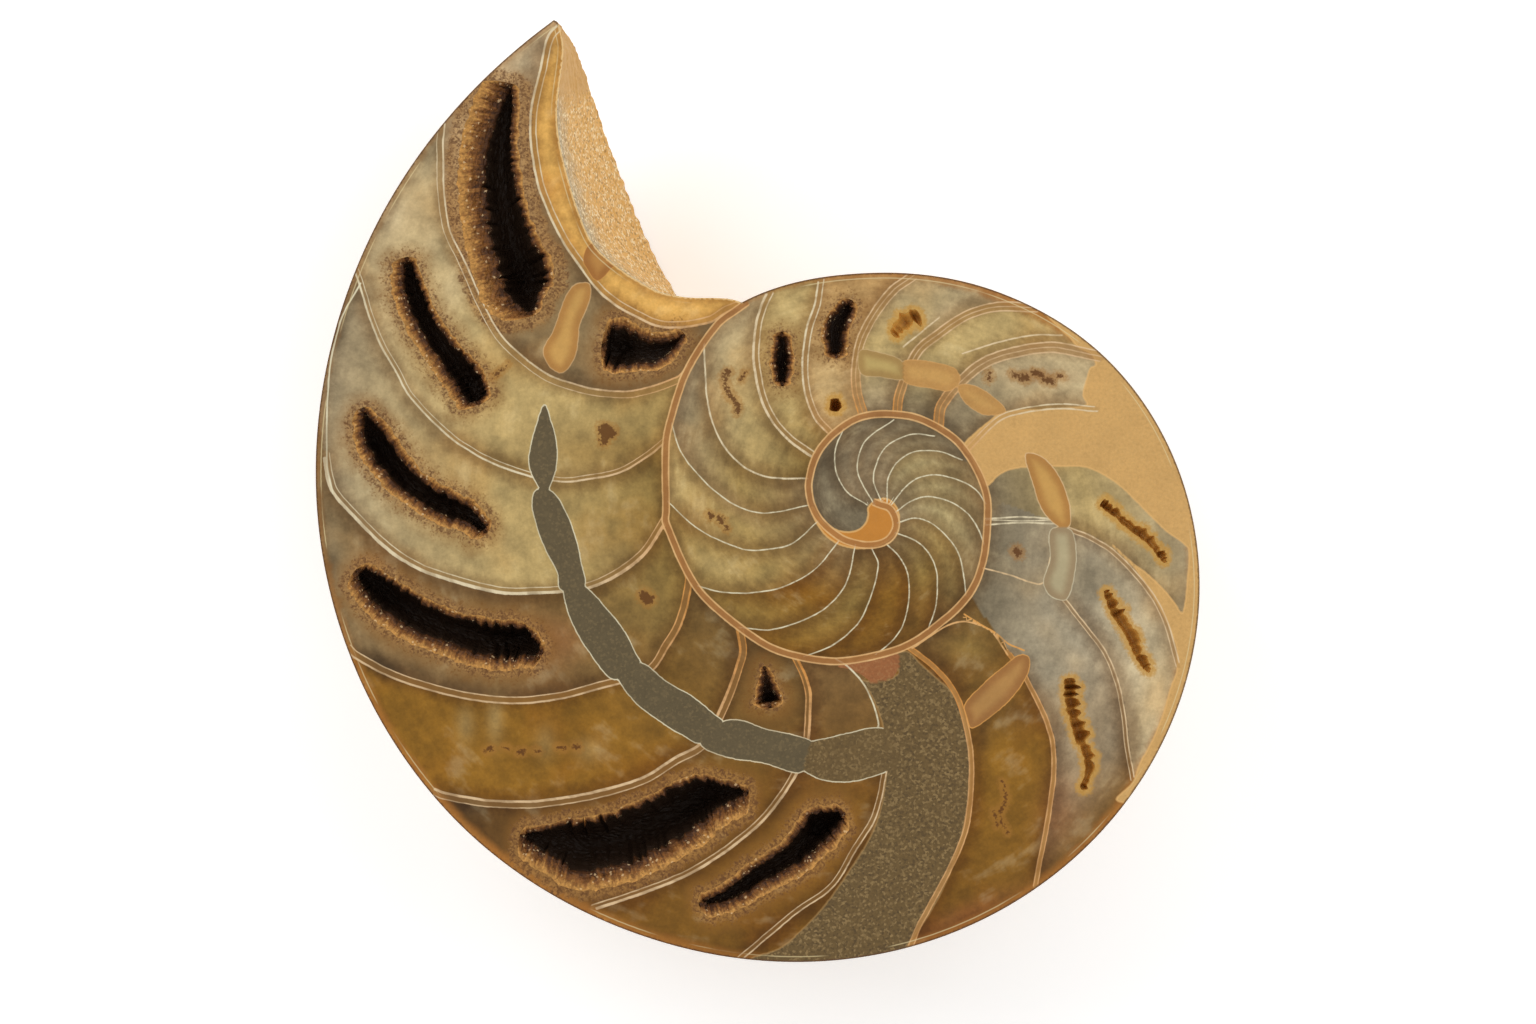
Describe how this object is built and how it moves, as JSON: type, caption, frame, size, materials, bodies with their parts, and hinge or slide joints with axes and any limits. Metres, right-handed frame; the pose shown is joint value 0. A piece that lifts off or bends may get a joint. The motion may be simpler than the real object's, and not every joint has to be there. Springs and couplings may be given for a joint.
{
  "type": "fossil nautilus shell half",
  "caption": "Half of a coiled chambered fossil nautilus, cut through the middle and polished flat, with crystal-lined hollows in its chambers and a domed back.",
  "frame": {"origin": "under the middle of the part, at the level of the surface that it lies on", "axes": "+Z is the outward normal of the polished face; +Y runs along the part's greatest length, towards the tip of the last chamber; +X is to the right with the tip away from the viewer"},
  "size_m": [0.0982, 0.105, 0.028],
  "materials": {
    "polished_fossil": "polished calcite and shell, olive to amber, with a fine sandy bowl at the open end",
    "brown_crystal": "small glassy brown crystals"
  },
  "bodies": {
    "root": {"shell_half": "polished_fossil", "crystal_crust_chamber_1_outer": "brown_crystal", "crystal_crust_chamber_1_inner": "brown_crystal", "crystal_crust_chamber_2": "brown_crystal", "crystal_crust_chamber_3": "brown_crystal", "crystal_crust_chamber_4": "brown_crystal", "crystal_crust_chamber_6_outer": "brown_crystal", "crystal_crust_chamber_6_inner": "brown_crystal", "crystal_crust_chamber_7": "brown_crystal", "crystal_crust_chamber_16_outer": "brown_crystal", "crystal_crust_chamber_17": "brown_crystal"}
  },
  "joints": []
}
